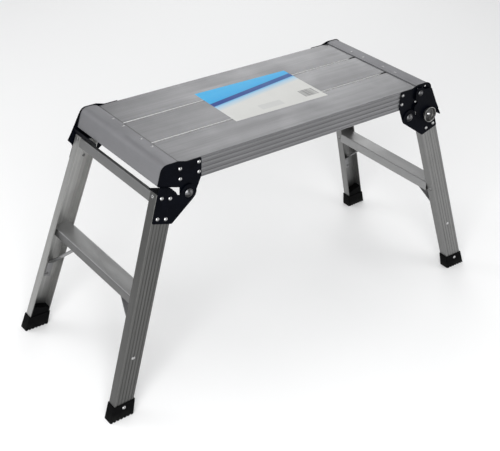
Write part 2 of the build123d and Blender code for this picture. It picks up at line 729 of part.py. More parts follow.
def step_section(shrink):
    """The step tube's outline in (x, z), drawn in from its outer faces by shrink."""
    half_width = STEP_WIDTH / 2 - shrink
    half_height = STEP_HEIGHT / 2 - shrink
    turn = radians(STEP_TILT)
    corners = []
    for across, down in ((-1, -1), (1, -1), (1, 1), (-1, 1)):
        u = across * half_width
        s = down * half_height
        turned_u = STEP_U + u * cos(turn) - s * sin(turn)
        turned_s = STEP_S + u * sin(turn) + s * cos(turn)
        corners.append(leg_point(turned_s, turned_u))
    return outline(corners, [max(STEP_CORNER - shrink, 0.8)] * 4)


def step():
    """The right-hand step tube, notched to sit inside the leg channels."""
    body = side_prism(step_section(0) - step_section(STEP_WALL), -190, 190)
    notch = leg_prism(rect(0, LEG_INNER_U + LEG_WALL, -LEG_DEPTH - 0.3, 60), 180, 280)
    for cutter in both_ends(beyond_web(LEG_WALL, 180, 280)) + both_ends(notch):
        body -= cutter
    for brace_hole in both_ends(drill(brace_screw_plane(), SMALL_SHANK - 0.6 + HOLE_CLEARANCE, 5)):
        body -= brace_hole
    return body


def step_plug():
    """A block in the end of the step tube, which takes the step rivet."""
    block = leg_prism(rect(LEG_INNER_U + LEG_WALL, LEG_OUTER_U, -LEG_DEPTH + 1, -LEG_WALL), 180, 280)
    body = block & side_prism(step_section(STEP_WALL), 100, 220)
    body -= drill(step_rivet_plane(), SMALL_SHANK - 0.4 + HOLE_CLEARANCE, 12)
    return body


def step_rivet():
    """A blind rivet through the leg's inner flange into the step's end plug."""
    return step_rivet_plane() * rivet(SMALL_SHANK - 0.4, 9.0, SMALL_HEAD - 0.6, 1.2, SMALL_SHANK - 0.4)


def crossbar_rivet():
    """A rivet through the leg's outer flange into the crossbar."""
    grip = LEG_WALL + CROSSBAR_WALL
    return crossbar_rivet_plane() * rivet(SMALL_SHANK, grip, SMALL_HEAD, SMALL_HEAD_HEIGHT, 3.4)


def step_underside_z():
    """Height of the step's level underside."""
    return leg_point(STEP_S, STEP_U)[1] - STEP_HEIGHT / 2


def brace_top_x():
    """Where the brace's strip meets the step's underside, along the bench."""
    s = (PIVOT_Z + LEG_MIDDLE_U * SPLAY_SIN - step_underside_z()) / SPLAY_COS
    return leg_point(s, LEG_MIDDLE_U - 3)[0]


def brace_screw_plane():
    """Under the brace's top tab, facing down."""
    z = step_underside_z() - BRACE_THICKNESS
    return Plane(origin=(brace_top_x(), BRACE_TOP_Y - 9, z), x_dir=(1, 0, 0), z_dir=(0, 0, -1))


def brace():
    """A flat strip from a tab under the step down to the inside of the leg."""
    foot_y = web_y(BRACE_FOOT_S) - LEG_WALL
    end_s = BRACE_RIVET_S + 8
    end_y = web_y(end_s) - LEG_WALL
    thick = BRACE_THICKNESS
    slant = thick * 1.45
    top_s = STEP_S + 6
    points = [
        (top_s, BRACE_TOP_Y - 5),
        (BRACE_FOOT_S - 2, foot_y),
        (end_s, end_y),
        (end_s, end_y - thick),
        (BRACE_FOOT_S, foot_y - thick),
        (top_s, BRACE_TOP_Y - 5 - slant),
    ]
    strip = outline(points, [0, 4, 0, 0, 4, 0])
    middle = LEG_MIDDLE_U - 3
    body = cross_prism(strip, middle - BRACE_WIDTH / 2, middle + BRACE_WIDTH / 2)
    under = step_underside_z()
    half = BRACE_WIDTH / 2
    tab = rect(brace_top_x() - half, brace_top_x() + half, under - thick, under)
    body += side_prism(tab, BRACE_TOP_Y + 3 - BRACE_TAB_LENGTH, BRACE_TOP_Y + 3)
    body -= Pos(brace_top_x(), BRACE_TOP_Y, under + 25) * Box(80, 80, 50)
    body -= beyond_web(LEG_WALL, 150, 420)
    body -= drill(web_plane(BRACE_RIVET_S, LEG_MIDDLE_U), SMALL_SHANK + HOLE_CLEARANCE, 8)
    body -= drill(brace_screw_plane(), SMALL_SHANK - 0.6 + HOLE_CLEARANCE, 9)
    return body


def brace_rivets():
    """One brace's rivet through the leg web and its rivet up into the step."""
    web = web_plane(BRACE_RIVET_S, LEG_MIDDLE_U) * rivet(
        SMALL_SHANK, LEG_WALL + BRACE_THICKNESS, SMALL_HEAD, 1.3, 3.4)
    grip = BRACE_THICKNESS + STEP_WALL
    under = brace_screw_plane() * rivet(SMALL_SHANK - 0.6, grip, 3.2, 1.2, 2.6)
    return [web, under]


# ---------------------------------------------------------------- feet
def boot_section(z, spread_in, spread_out):
    """The boot's level section at a height, spread beyond the leg's width."""
    inner_u = LEG_INNER_U - BOOT_WALL - spread_in
    outer_u = LEG_OUTER_U + BOOT_WALL + spread_out
    deep = -LEG_DEPTH - BOOT_WALL
    corners = []
    for u, y in ((inner_u, deep), (outer_u, deep), (outer_u, BOOT_WALL), (inner_u, BOOT_WALL)):
        s = (PIVOT_Z + u * SPLAY_SIN - z) / SPLAY_COS
        corners.append((leg_point(s, u)[0], web_y(s) + y))
    return Plane.XY.offset(z) * outline(corners, [3] * 4)


def foot():
    """A moulded boot round the leg's end, with a plug inside the channel and a ribbed sole."""
    sole = boot_section(0, BOOT_FLARE_IN, BOOT_FLARE_OUT)
    boot = loft([sole, boot_section(BOOT_TOP_Z, 0, 0)])
    plug = rect(LEG_INNER_U + LEG_WALL, LEG_OUTER_U - LEG_WALL, -LEG_DEPTH, -LEG_WALL)
    boot += leg_prism(plug, BOOT_PLUG_S, 500)
    boot -= below(0)
    boot -= leg_prism(leg_envelope(), 400, 510) - below(SOLE_THICKNESS)
    for groove in range(SOLE_GROOVE_COUNT):
        boot -= sole_groove((groove - (SOLE_GROOVE_COUNT - 1) / 2) * SOLE_GROOVE_PITCH)
    boot -= drill(web_plane(BOOT_RIVET_S, LEG_MIDDLE_U), SMALL_SHANK + HOLE_CLEARANCE, 12)
    return boot


def leg_envelope():
    """The leg's channel section without its flutes, which the boot closes over."""
    points = [
        (LEG_INNER_U, 0),
        (LEG_INNER_U, -LEG_DEPTH),
        (LEG_OUTER_U, -LEG_DEPTH),
        (LEG_OUTER_U, 0),
    ]
    section = outline(points, [1.6, 0, 0, 1.6])
    return section - rect(LEG_INNER_U + LEG_WALL, LEG_OUTER_U - LEG_WALL, -LEG_DEPTH - 1, -LEG_WALL)


def sole_middle():
    """The middle of the right-hand back foot's sole on the floor."""
    s = (PIVOT_Z + LEG_MIDDLE_U * SPLAY_SIN) / SPLAY_COS
    x, _ = leg_point(s, LEG_MIDDLE_U)
    return (x, web_y(s) - LEG_DEPTH / 2)


def sole_groove(offset):
    """A V groove across the sole."""
    x = sole_middle()[0] + offset
    half = SOLE_GROOVE_WIDTH / 2
    points = [(x - half, -0.01), (x, SOLE_GROOVE_DEPTH), (x + half, -0.01)]
    return side_prism(make_face(Polyline(points, close=True)), 120, 240)


def foot_rivet():
    """The rivet that holds a boot to its leg."""
    plane = web_plane(BOOT_RIVET_S, LEG_MIDDLE_U, BOOT_WALL * cos(radians(LEG_FLARE)))
    return plane * rivet(SMALL_SHANK, BOOT_WALL + LEG_WALL + 6, SMALL_HEAD, SMALL_HEAD_HEIGHT, SMALL_SHANK)


# ---------------------------------------------------------------- latch
def lever_outline():
    """The lever plate's outline in (x, z): a head round its pivot, a hook and a tail."""
    left_x = 303.5
    neck_x = 310.5
    low_x = 311.5
    tab_corner, tab_end = LEVER_TAB_LINE
    corners = [
        ((left_x + 0.5, 481.0), 2),
        ((left_x, 500.5), 4),
        ((309.5, 506.5), 4),
        ((321.5, 506.5), 4),
        ((329.5, 500.5), 4),
        ((349.8, 500.5), 7),
        (tab_corner, 0.4),
        (tab_end, 0.4),
        ((366.5, 419.5), 5),
        ((347.0, 418.0), 10),
        ((325.0, 431.5), 4),
        ((low_x, 441.0), 4),
        ((low_x, 450.0), 1.5),
        ((left_x - 0.5, 454.5), 2),
        ((left_x - 0.5, 466.5), 2),
        ((neck_x, 470.5), 1.5),
        ((neck_x, 478.0), 1.5),
    ]
    return outline([point for point, _ in corners], [radius for _, radius in corners])


def finger_tab():
    """The lower outer corner of the lever, bent outwards to a point."""
    (x, z), (end_x, end_z) = LEVER_TAB_LINE
    along = Vector(end_x - x, 0, end_z - z)
    width = along.length
    root_y = LEVER_OUTER_Y + 0.3
    plane = Plane(origin=(x, 0, z), x_dir=along, z_dir=along.cross(Vector(0, 1, 0)))
    points = [
        (0.6, root_y),
        (width - 3.4, LEVER_TAB_TIP_Y),
        (width - 1.4, LEVER_TAB_TIP_Y),
        (width - 0.6, root_y),
    ]
    return extrude(plane * outline(points, [0, 0.6, 0.6, 0]), amount=-PLATE)


def latch_lever():
    """The lever plate, bent to the leg's flare, with its release bar under the end skirt."""
    pivot_x, pivot_z = LATCH_PIVOT
    plate = side_prism(lever_outline(), LEVER_INNER_Y - 20, LEVER_OUTER_Y + 40)
    body = plate & flared_slab(LEVER_INNER_Y, -90, 140)
    body += finger_tab()
    bar_x = RELEASE_BAR_X
    wide = rect(bar_x, bar_x + RELEASE_BAR_THICKNESS, 460.0, 469.3)
    narrow = rect(bar_x, bar_x + RELEASE_BAR_THICKNESS, 464.3, 469.3)
    body += side_prism(wide, 110, LEVER_INNER_Y + 1)
    body += side_prism(narrow, 68, 111)
    body -= side_plane(pivot_x, LEVER_INNER_Y, pivot_z) * Cylinder(3.0 + RUNNING_CLEARANCE, 20)
    s, u = LATCH_CUP_SU
    body -= drill(web_plane(s, u), SMALL_SHANK + HOLE_CLEARANCE, 12)
    return body


def latch_plane():
    """On the lever's outer face at the cup."""
    s, u = LATCH_CUP_SU
    lift = (PLATE + LATCH_GAP + PLATE) * cos(radians(LEG_FLARE))
    return web_plane(s, u, lift)


def latch_cup():
    """A deep round cup on the lever, open outwards."""
    rim = LATCH_CUP_RADIUS
    height = LATCH_CUP_HEIGHT
    bore = SMALL_SHANK + HOLE_CLEARANCE
    points = [
        (bore, 0),
        (rim - 2.4, 0),
        (rim, height),
        (rim - 1.7, height),
        (rim - 3.9, 1.2),
        (bore, 1.2),
    ]
    section = outline(points, [0, 1.6, 0.6, 0.6, 1.2, 0])
    return latch_plane() * revolve(Plane.XZ * section, axis=Axis.Z)


def latch_knob():
    """The dome knob in the middle of the cup, riveted through the lever."""
    grip = 1.2 + PLATE * cos(radians(LEG_FLARE)) - 0.3
    stem = rivet(SMALL_SHANK, grip, 4.6, 3.8, SMALL_SHANK, 0.1)
    return latch_plane().offset(1.2) * stem


def latch_pivot_rivet():
    """A shouldered rivet fixed in the upper bracket and rail, which the lever turns on."""
    x, z = LATCH_PIVOT
    shoulder = LEVER_INNER_Y - UPPER_OUTER_Y - 0.3
    head_low = LEVER_OUTER_Y + 0.3 - UPPER_OUTER_Y
    grip = PLATE + RAIL_WALL
    points = [
        (0, -grip - 1.2),
        (4.2, -grip - 1.2),
        (4.2, -grip),
        (3.0, -grip),
        (3.0, 0),
        (5.0, 0),
        (5.0, shoulder),
        (3.0, shoulder),
        (3.0, head_low),
        (LATCH_HEAD, head_low),
        (LATCH_HEAD, head_low + 0.6),
    ]
    head_top = head_low + LATCH_HEAD_HEIGHT
    crown = dome_arc(LATCH_HEAD, head_low + 0.6, head_top)
    axis_line = Line((0, head_top), (0, -grip - 1.2))
    profile = make_face(Polyline(points) + crown + axis_line)
    return side_plane(x, UPPER_OUTER_Y, z) * revolve(Plane.XZ * profile, axis=Axis.Z)


def latch_spring():
    """A torsion spring of two turns round the shoulder, with a leg at each end."""
    x, z = LATCH_PIVOT
    wire = 0.55
    coil_radius = 6.3
    first = 0.9
    second = first + 2 * wire + 0.2
    body = Pos(0, 0, first) * Torus(coil_radius, wire) + Pos(0, 0, second) * Torus(coil_radius, wire)
    for height, sign in ((first, -1), (second, 1)):
        straight = Cylinder(wire * 0.8, 12, align=(Align.CENTER, Align.CENTER, Align.MIN))
        body += Pos(sign * coil_radius, 0, height) * Rot(90, 0, 0) * straight
    body += Pos(0, coil_radius, (first + second) / 2) * Cylinder(wire * 0.7, second - first)
    return side_plane(x, UPPER_OUTER_Y, z) * body


# ---------------------------------------------------------------- assembly
def deck_parts():
    """Every piece of the platform body."""
    back = drill_rail(plank(outer_plank_section()), "back")
    front = drill_rail(plank(outer_plank_section(), turned=True), "front")
    parts = {
        "deck_plank_back": back,
        "deck_plank_front": front,
        "deck_plank_middle": plank(middle_plank_section()),
        "deck_brace_right": deck_brace(),
        "deck_brace_left": mirror(deck_brace(), about=Plane.YZ),
        "deck_brace_rivets": deck_brace_rivets(),
        "end_cap_right": end_cap(),
        "end_cap_left": mirror(end_cap(), about=Plane.YZ),
        "end_cap_rivets": end_cap_rivets(),
        "product_label": product_label(),
        "upper_bracket_rivets": upper_bracket_rivets(),
        "pivot_rivets": group([placed(pivot_rivet(), side, end) for side in SIDES for end in ENDS]),
    }
    for side in SIDES:
        for end in ENDS:
            bracket = upper_bracket(has_latch(side, end))
            parts[f"{side}_upper_bracket_{end}"] = placed(bracket, side, end)
            if has_latch(side, end):
                parts[f"{side}_latch_pivot"] = placed(latch_pivot_rivet(), side, end)
                parts[f"{side}_latch_spring"] = placed(latch_spring(), side, end)
    return parts


def leg_frame_parts(side):
    """Every piece of one folding leg frame."""
    parts = {
        f"{side}_crossbar": placed(crossbar(), side, "back"),
        f"{side}_step": placed(step(), side, "back"),
        f"{side}_bracket_rivets": lower_bracket_rivets(side),
    }
    for end in ENDS:
        latched = has_latch(side, end)
        parts[f"{side}_leg_{end}"] = placed(leg(latched), side, end)
        parts[f"{side}_lower_bracket_{end}"] = placed(lower_bracket(latched), side, end)
        parts[f"{side}_brace_{end}"] = placed(brace(), side, end)
        parts[f"{side}_foot_{end}"] = placed(foot(), side, end)
    frame_rivets = [crossbar_rivet(), step_rivet()]
    parts[f"{side}_frame_rivets"] = group([placed(r, side, end) for r in frame_rivets for end in ENDS])
    parts[f"{side}_brace_rivets"] = group([placed(r, side, end) for r in brace_rivets() for end in ENDS])
    parts[f"{side}_foot_rivets"] = group([placed(foot_rivet(), side, end) for end in ENDS])
    parts[f"{side}_pivot_washers"] = group([placed(pivot_washer(), side, end) for end in ENDS])
    parts[f"{side}_step_plugs"] = group([placed(step_plug(), side, end) for end in ENDS])
    return parts


def latch_parts(side):
    """Every moving piece of one latch."""
    end = next(end for end in ENDS if has_latch(side, end))
    return {
        f"{side}_latch_lever": placed(latch_lever(), side, end),
        f"{side}_latch_cup": placed(latch_cup(), side, end),
        f"{side}_latch_knob": placed(latch_knob(), side, end),
    }


def main():
    """Build every piece and write one STEP file for each."""
    parts = deck_parts()
    for side in SIDES:
        parts.update(leg_frame_parts(side))
        parts.update(latch_parts(side))
    os.makedirs("parts", exist_ok=True)
    for name, shape in parts.items():
        export_step(shape, f"parts/{name}.step")
    print(len(parts), "nodes written")


main()
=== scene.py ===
import math

import bpy
from mathutils import Matrix, Vector


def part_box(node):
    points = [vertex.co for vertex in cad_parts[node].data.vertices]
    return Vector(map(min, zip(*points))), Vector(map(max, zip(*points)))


# Looks for the folding work platform bench. Metres, in the frame of the CAD part.
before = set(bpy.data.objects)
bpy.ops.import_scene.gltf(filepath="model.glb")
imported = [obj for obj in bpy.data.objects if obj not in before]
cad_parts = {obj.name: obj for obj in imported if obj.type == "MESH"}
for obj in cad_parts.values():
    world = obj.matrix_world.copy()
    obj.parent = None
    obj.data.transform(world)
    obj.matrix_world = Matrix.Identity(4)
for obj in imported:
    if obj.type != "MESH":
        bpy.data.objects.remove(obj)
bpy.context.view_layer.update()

# ---------------------------------------------------------------- the bench
ALONG_X = (1, 0, 0)
ALONG_Y = (0, 1, 0)
ALONG_BRACE = (0, 0.9, -0.6)
LEG_SPLAY = math.radians(17.4)
LEG_FLARE = math.radians(4.9)
LEG_PIVOT = (0.2932, 0.4409)            # out along the bench, and up
RAIL_FLUTES = {"middle": 0.485, "pitch": 0.010, "half_width": 0.0031, "reach": 0.0145}
LEG_FLUTES = {"middle": 0.050, "pitch": 0.00748, "half_width": 0.0015, "reach": 0.0195}
PLANK_SEAMS_Y = (-0.052, 0.052)
SEAM_REACH = 0.0020
SEAM_SOFTNESS = 0.0006
SEAM_EDGE = (0.0030, 0.0042)            # where the painted shade beside a seam starts to fade, and ends
SEAM_END = (0.292, 0.300)               # where a seam's painted highlight gives way to painted shade at its right-hand end
CAP_SHADE_LINE = (0.3070, 0.3084)             # where the line of painted shade beside the left cap's lip comes in
FOOT_SHADE = (0.03, 0.13)               # heights between which a leg's inner shade fades
SOLE_DUST_TOP = 0.018
CUP_WALL = (0.0125, 0.0150)             # distances from the cup's middle, floor to wall, over which its painted shade fades
CUP_RIM = (0.0160, 0.0168)
LABEL_CENTRE = (0.0038, 0.0074)
LABEL_SIZE = (0.238, 0.154)
LABEL_TURN = math.radians(-1.4)
LABEL_BAND_SLANT = 0.27

# ---------------------------------------------------------------- greys and colours
DECK_GREY = (0.245, 0.245, 0.252)
FRAME_GREY = (0.25, 0.25, 0.25)
CAP_GREY = (0.27, 0.27, 0.282)
BRACE_GREY = (0.26, 0.26, 0.265)
SEAM_HIGHLIGHT_GREY = (0.78, 0.78, 0.78)
SEAM_END_SHADE_GREY = (0.02, 0.02, 0.02)
# Painted light and shade: each step has its own grey, darker or paler to stand in for how this studio
# lights it, in place of one shared finish.
STEP_LIT_AND_SHADED_GREYS = {"left": (0.155, 0.155, 0.155), "right": (0.33, 0.33, 0.33)}
TREAD_PAINTED_LIGHT = {"left": 2.4, "right": 0.85}      # painted light and shade on a tread's upward faces, as a factor over its step's sides
# Painted light and shade: each corner's leg has its own grey, darker or paler to stand in for how this
# studio lights that corner, in place of one shared finish.
LEG_LIT_AND_SHADED_GREYS = {
    ("left", "front"): (0.128, 0.128, 0.125),
    ("left", "back"): (0.41, 0.41, 0.402),
    ("right", "front"): (0.235, 0.235, 0.232),
    ("right", "back"): (0.245, 0.245, 0.242),
}
# Strength of the painted shade in the flute floors of each corner's leg.
FLUTE_PAINTED_SHADE = {
    ("left", "front"): 0.45,
    ("left", "back"): 0.3,
    ("right", "front"): 0.10,
    ("right", "back"): 0.3,
}
# Strength of the painted shade in the rail's flute floors.
RAIL_FLUTE_PAINTED_SHADE = 0.25
COAT_BLACK = (0.0008, 0.0011, 0.0024)
WORN_COAT = (0.10, 0.10, 0.105)
COAT_SPECK = (0.22, 0.22, 0.23)
RUBBER_BLACK = (0.0020, 0.0020, 0.0022)
RUBBER_DUST = (0.006, 0.006, 0.006)
SOLE_DUST = (0.018, 0.018, 0.017)
RIVET_GREY = (0.52, 0.52, 0.52)
PIVOT_GREY = (0.155, 0.155, 0.16)
KNOB_GREY = (0.60, 0.60, 0.61)
SPRING_GREY = (0.36, 0.36, 0.37)
# The cup's colours: smudges with painted shade, its metal between dark and light, and the painted
# highlight on its rim.
CUP_SMUDGE_AND_SHADE = (0.012, 0.012, 0.014)
CUP_DARK = (0.12, 0.12, 0.115)
CUP_LIGHT = (0.32, 0.32, 0.31)
CUP_RIM_HIGHLIGHT = (0.46, 0.46, 0.45)
LABEL_SKY_SHEEN = (0.16, 0.52, 0.80)
LABEL_BLOCK_GREY = (0.16, 0.16, 0.16)
LABEL_FAINT_GREY = (0.30, 0.31, 0.34)
LABEL_STAIN = (0.32, 0.33, 0.33)
LABEL_STOPS = [                         # colours from the label's lower edge to its upper one
    (0.0, (0.58, 0.58, 0.56)),
    (0.50, (0.62, 0.62, 0.60)),
    (0.60, (0.38, 0.55, 0.68)),
    (0.648, (0.15, 0.43, 0.68)),
    (0.655, (0.005, 0.040, 0.23)),
    (0.748, (0.005, 0.040, 0.23)),
    (0.755, (0.022, 0.34, 0.68)),
    (0.95, (0.035, 0.39, 0.72)),
]
FLOOR_COLOUR = (0.96, 0.96, 0.96)
WORLD_COLOUR = (0.98, 0.99, 1.0)

# ---------------------------------------------------------------- textures
# Stretches of a noise along, across and through an extrusion.
DIE_LINES = (1.4, 0.0035, 0.0035)
SOFT_BANDS = (2.0, 0.02, 0.02)
FINE_GRAIN = (0.12, 0.0006, 0.0006)
SCUFFS = (0.05, 0.011, 0.011)
DECK_STREAKS = (1.5, 0.045, 1.0)
COAT_SCRATCHES = (0.03, 0.0012, 0.0012)
COAT_SCRATCH_TURN = (0.2, 0.9, 0.1)
LABEL_BARS = (0.0012, 1, 1)
# The middle stretch of a noise's values, and the plain 0 to 1 that it often spreads over.
MID = (0.3, 0.7)
FULL = (0.0, 1.0)
PAINTED_SHADE_KEEP = 0.25                             # how much of its own grey a line of painted shade keeps

# ---------------------------------------------------------------- studio
FLOOR_HALF = 14.0
FLOOR_DROP = 0.0004
WORLD_STRENGTH = 0.36
# Name, place, target, size and power in watts.
SOFTBOXES = (
    ("top", (0.0, 0.3, 3.4), (0, 0, 0.3), (4.0, 4.0), 42.0),
    ("front_left", (-2.0, -2.2, 1.6), (0, 0, 0.3), (2.2, 2.2), 98.0),
    ("back_right", (1.8, 2.2, 1.7), (0, 0, 0.3), (1.6, 1.2), 12.5),
    ("back_left", (-1.8, 2.2, 1.7), (0, 0, 0.3), (1.6, 1.2), 12.0),
    ("front_right", (1.3, -1.3, 0.6), (0.35, -0.15, 0.3), (0.8, 0.8), 4.0),
)
CAMERA_PLACE = (-1.23690, -1.54035, 1.40803)
CAMERA_YAW = 0.668516
CAMERA_PITCH = 0.554457
CAMERA_ROLL = 0.035108
CAMERA_LENS = 73.354104                 # millimetres, as is the sensor
CAMERA_SENSOR = 36.0
CAMERA_REACH = 100.0


# ---------------------------------------------------------------- node helpers
class Surface:
    """One material and the few node calls that the looks below are made of."""

    def __init__(self, name):
        self.material = bpy.data.materials.new(name)
        self.material.use_nodes = True
        self.nodes = self.material.node_tree.nodes
        self.links = self.material.node_tree.links
        self.shader = self.nodes["Principled BSDF"]
        self.coords = self.nodes.new("ShaderNodeTexCoord").outputs["Object"]

    def feed(self, socket, value):
        """Link an output to a socket, or set the socket's own value."""
        if isinstance(value, bpy.types.NodeSocket):
            self.links.new(value, socket)
        elif isinstance(value, (tuple, list)) and len(value) == 3 and socket.type == "RGBA":
            socket.default_value = (*value, 1.0)
        else:
            socket.default_value = value

    def set(self, **values):
        """Set or link sockets of the shader, named with underscores for spaces."""
        for name, value in values.items():
            self.feed(self.shader.inputs[name.replace("_", " ")], value)

    def mapped(self, location=(0, 0, 0), rotation=(0, 0, 0), scale=(1, 1, 1)):
        """Object coordinates seen in a turned and stretched local frame."""
        node = self.nodes.new("ShaderNodeMapping")
        node.vector_type = "TEXTURE"
        self.links.new(self.coords, node.inputs["Vector"])
        node.inputs["Location"].default_value = location
        node.inputs["Rotation"].default_value = rotation
        node.inputs["Scale"].default_value = scale
        return node.outputs["Vector"]

    def noise(self, vector, scale, detail=4.0, roughness=0.55, distortion=0.0):
        """A grey noise over a vector."""
        node = self.nodes.new("ShaderNodeTexNoise")
        self.links.new(vector, node.inputs["Vector"])
        node.inputs["Scale"].default_value = scale
        node.inputs["Detail"].default_value = detail
        node.inputs["Roughness"].default_value = roughness
        node.inputs["Distortion"].default_value = distortion
        return node.outputs["Fac"]

    def ramp(self, value, stops):
        """A colour ramp; each stop is a position and a colour."""
        node = self.nodes.new("ShaderNodeValToRGB")
        elements = node.color_ramp.elements
        while len(elements) < len(stops):
            elements.new(0.5)
        for element, (position, colour) in zip(elements, stops):
            element.position = position
            element.color = (*colour, 1.0)
        self.links.new(value, node.inputs["Fac"])
        return node.outputs["Color"]

    def mix(self, factor, first, second, blend="MIX"):
        """The first colour at factor 0 and the second at factor 1."""
        node = self.nodes.new("ShaderNodeMix")
        node.data_type = "RGBA"
        node.blend_type = blend
        self.feed(node.inputs["Factor"], factor)
        self.feed(node.inputs[6], first)
        self.feed(node.inputs[7], second)
        return node.outputs[2]

    def math(self, operation, first, second=0.0):
        """One arithmetic node."""
        node = self.nodes.new("ShaderNodeMath")
        node.operation = operation
        self.feed(node.inputs[0], first)
        self.feed(node.inputs[1], second)
        return node.outputs["Value"]

    def plus(self, first, second):
        return self.math("ADD", first, second)

    def minus(self, first, second):
        return self.math("SUBTRACT", first, second)

    def times(self, first, second):
        return self.math("MULTIPLY", first, second)

    def gap(self, value, centre):
        """How far a value is from a centre."""
        return self.math("ABSOLUTE", self.minus(value, centre))

    def span(self, value, source, target):
        """Map a range of values onto another, clamped."""
        node = self.nodes.new("ShaderNodeMapRange")
        self.feed(node.inputs["Value"], value)
        node.inputs["From Min"].default_value = source[0]
        node.inputs["From Max"].default_value = source[1]
        node.inputs["To Min"].default_value = target[0]
        node.inputs["To Max"].default_value = target[1]
        return node.outputs["Result"]

    def axes(self, vector):
        """A vector's three parts."""
        node = self.nodes.new("ShaderNodeSeparateXYZ")
        self.links.new(vector, node.inputs["Vector"])
        return node.outputs["X"], node.outputs["Y"], node.outputs["Z"]

    def length(self, vector):
        """A vector's length."""
        node = self.nodes.new("ShaderNodeVectorMath")
        node.operation = "LENGTH"
        self.links.new(vector, node.inputs[0])
        return node.outputs["Value"]

    def facing(self):
        """The true normal's parts: away from the middle of the bench, and upwards."""
        node = self.nodes.new("ShaderNodeNewGeometry")
        _, y, z = self.axes(node.outputs["True Normal"])
        side = self.math("SIGN", self.axes(self.coords)[1])
        return self.times(y, side), z

    def patch(self, across, up, centre, half):
        """A mask that is 1 inside a rectangle and 0 outside it."""
        in_width = self.math("LESS_THAN", self.gap(across, centre[0]), half[0])
        in_height = self.math("LESS_THAN", self.gap(up, centre[1]), half[1])
        return self.times(in_width, in_height)

    def flutes(self, across, middle, pitch, half_width, reach):
        """A mask that is 1 in the floors of a row of flutes and 0 on the lands between."""
        offset = self.minus(across, middle)
        turns = self.math("FRACT", self.plus(self.math("DIVIDE", offset, pitch), 0.5))
        from_centre = self.times(self.gap(turns, 0.5), pitch)
        inside = self.math("LESS_THAN", self.math("ABSOLUTE", offset), reach)
        wall = (half_width - 0.0006, half_width + 0.0001)
        return self.times(inside, self.span(from_centre, wall, (1.0, 0.0)))

    def across_leg(self):
        """How far a point lies outwards from its leg's pivot, square to the leg."""
        x, _, z = self.axes(self.coords)
        out = self.minus(self.math("ABSOLUTE", x), LEG_PIVOT[0])
        rise = self.minus(z, LEG_PIVOT[1])
        return self.plus(self.times(out, math.cos(LEG_SPLAY)), self.times(rise, math.sin(LEG_SPLAY)))

    def bump(self, height, distance, strength):
        """A normal from a height."""
        node = self.nodes.new("ShaderNodeBump")
        node.inputs["Strength"].default_value = strength
        node.inputs["Distance"].default_value = distance
        self.links.new(height, node.inputs["Height"])
        return node.outputs["Normal"]


def turn_to(direction):
    """The rotation that lays a local x axis along a direction."""
    return tuple(Vector((1, 0, 0)).rotation_difference(Vector(direction).normalized()).to_euler())


def tone(colour, factor):
    """A colour made darker or paler by a factor."""
    return tuple(min(1.0, part * factor) for part in colour)


# ---------------------------------------------------------------- details on the extrusions
def no_details(look, base, colour):
    """Plain metal."""
    return base


def broad_streaks(look, base, colour):
    """Broad darker streaks along the planks."""
    streaks = look.noise(look.mapped(scale=DECK_STREAKS), 3.0, detail=3.0, roughness=0.6)
    return look.mix(look.span(streaks, (0.42, 0.62), (0.0, 0.55)), base, tone(colour, 0.70))


def seam_lines(look, base, colour):
    """Painted highlight along each plank seam, with painted shade at its edges and at its right-hand end.
    """
    along, across, _ = look.axes(look.coords)
    line = (SEAM_REACH, SEAM_REACH + SEAM_SOFTNESS)
    for seam in PLANK_SEAMS_Y:
        gap = look.gap(across, seam)
        # Painted shade beside the seam, then a painted highlight along it that turns to painted shade at
        # its right-hand end.
        base = look.mix(look.span(gap, SEAM_EDGE, (0.7, 0.0)), base, tone(colour, PAINTED_SHADE_KEEP))
        painted_seam_tone = look.mix(look.span(along, SEAM_END, FULL), SEAM_HIGHLIGHT_GREY, SEAM_END_SHADE_GREY)
        base = look.mix(look.span(gap, line, (1.0, 0.0)), base, painted_seam_tone)
    return base


def deck_details(look, base, colour):
    """Plank seams, a line of painted shade beside the left cap's lip, and painted shade in the rail
    flutes.
    """
    along, _, height = look.axes(look.coords)
    base = seam_lines(look, base, colour)
    # Painted shade: a dark line beside the left cap's lip.
    to_left = look.times(along, -1.0)
    base = look.mix(look.span(to_left, CAP_SHADE_LINE, (0.0, 0.6)), base, tone(colour, PAINTED_SHADE_KEEP))
    # Painted shade in the rail's flute floors.
    flutes = look.times(look.flutes(height, **RAIL_FLUTES), RAIL_FLUTE_PAINTED_SHADE)
    return look.mix(flutes, base, tone(colour, PAINTED_SHADE_KEEP))


def leg_details(depth):
    """Painted shade in the flute floors on a leg's outer face, and painted shade inside the channel near
    the foot.
    """
    def add_to(look, base, colour):
        outward, _ = look.facing()
        outer = look.span(outward, (0.3, 0.6), (0.0, depth))
        # Painted shade in the flute floors.
        flutes = look.times(look.flutes(look.across_leg(), **LEG_FLUTES), outer)
        base = look.mix(flutes, base, tone(colour, PAINTED_SHADE_KEEP))
        low = look.span(look.axes(look.coords)[2], FOOT_SHADE, (0.85, 0.0))
        painted_inner_shade = look.span(outward, (-0.5, -0.2), (1.0, 0.0))
        return look.mix(look.times(low, painted_inner_shade), base, tone(colour, 0.08))
    return add_to


def painted_tread_light(lift):
    """Painted light and shade: a step's upward faces, paler or darker than its sides."""
    def add_to(look, base, colour):
        _, upward = look.facing()
        return look.mix(look.span(upward, (0.6, 0.8), FULL), base, (lift, lift, lift), "MULTIPLY")
    return add_to


